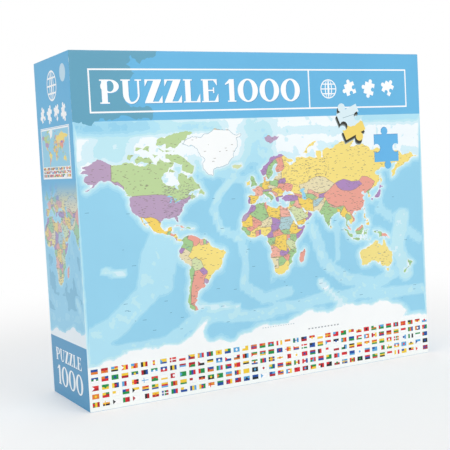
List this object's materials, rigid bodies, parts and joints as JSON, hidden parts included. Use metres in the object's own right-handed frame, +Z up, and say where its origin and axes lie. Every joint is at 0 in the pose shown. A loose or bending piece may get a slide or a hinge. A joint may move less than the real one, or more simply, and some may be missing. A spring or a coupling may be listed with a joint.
{
  "type": "boxed jigsaw puzzle",
  "caption": "Rectangular set-up box with a full-depth lift-off lid over a base tray, and a sealed film bag of loose die-cut puzzle pieces inside, stored standing on a long wall.",
  "frame": {"origin": "centre of the footprint, on the surface that the box stands on", "axes": "+X along the box's width to the right as the lid's face is looked at, +Y from the lid's face to the base's back, +Z up"},
  "size_m": [0.29, 0.078, 0.24],
  "materials": {
    "lid_print": "satin laminated art paper, printed with a world map",
    "base_print": "satin art paper, plain pale blue print",
    "greyboard": "uncoated grey chipboard",
    "stay_tape": "matte gummed kraft paper",
    "film": "clear glossy polypropylene film",
    "puzzle_board": "chipboard with a printed and varnished paper face"
  },
  "bodies": {
    "base": {"base_board": "greyboard", "base_corner_stays": "stay_tape", "base_wrap": "base_print"},
    "lid": {"lid_board": "greyboard", "lid_corner_stays": "stay_tape", "lid_wrap": "lid_print"},
    "bag": {"piece_bag": "film", "puzzle_row_01": "puzzle_board", "puzzle_row_02": "puzzle_board", "puzzle_row_03": "puzzle_board", "puzzle_row_04": "puzzle_board", "puzzle_row_05": "puzzle_board", "puzzle_row_06": "puzzle_board", "puzzle_row_07": "puzzle_board", "puzzle_row_08": "puzzle_board", "puzzle_row_09": "puzzle_board", "puzzle_row_10": "puzzle_board", "puzzle_row_11": "puzzle_board", "puzzle_row_12": "puzzle_board", "puzzle_row_13": "puzzle_board", "puzzle_row_14": "puzzle_board", "puzzle_row_15": "puzzle_board", "puzzle_row_16": "puzzle_board", "puzzle_row_17": "puzzle_board", "puzzle_row_18": "puzzle_board", "puzzle_row_19": "puzzle_board", "puzzle_row_20": "puzzle_board", "puzzle_row_21": "puzzle_board", "puzzle_row_22": "puzzle_board", "puzzle_row_23": "puzzle_board", "puzzle_row_24": "puzzle_board", "puzzle_row_25": "puzzle_board"}
  },
  "joints": [
    {"name": "lid_slide", "type": "slide", "parent": "base", "child": "lid", "axis": [0, -1, 0], "range_m": [0, 0.15]},
    {"name": "bag_slide", "type": "slide", "parent": "base", "child": "bag", "axis": [0, -1, 0], "range_m": [0, 0.075]}
  ],
  "couplings": [
    {"joint": "bag_slide", "follows": "lid_slide", "ratio": 0.5}
  ]
}
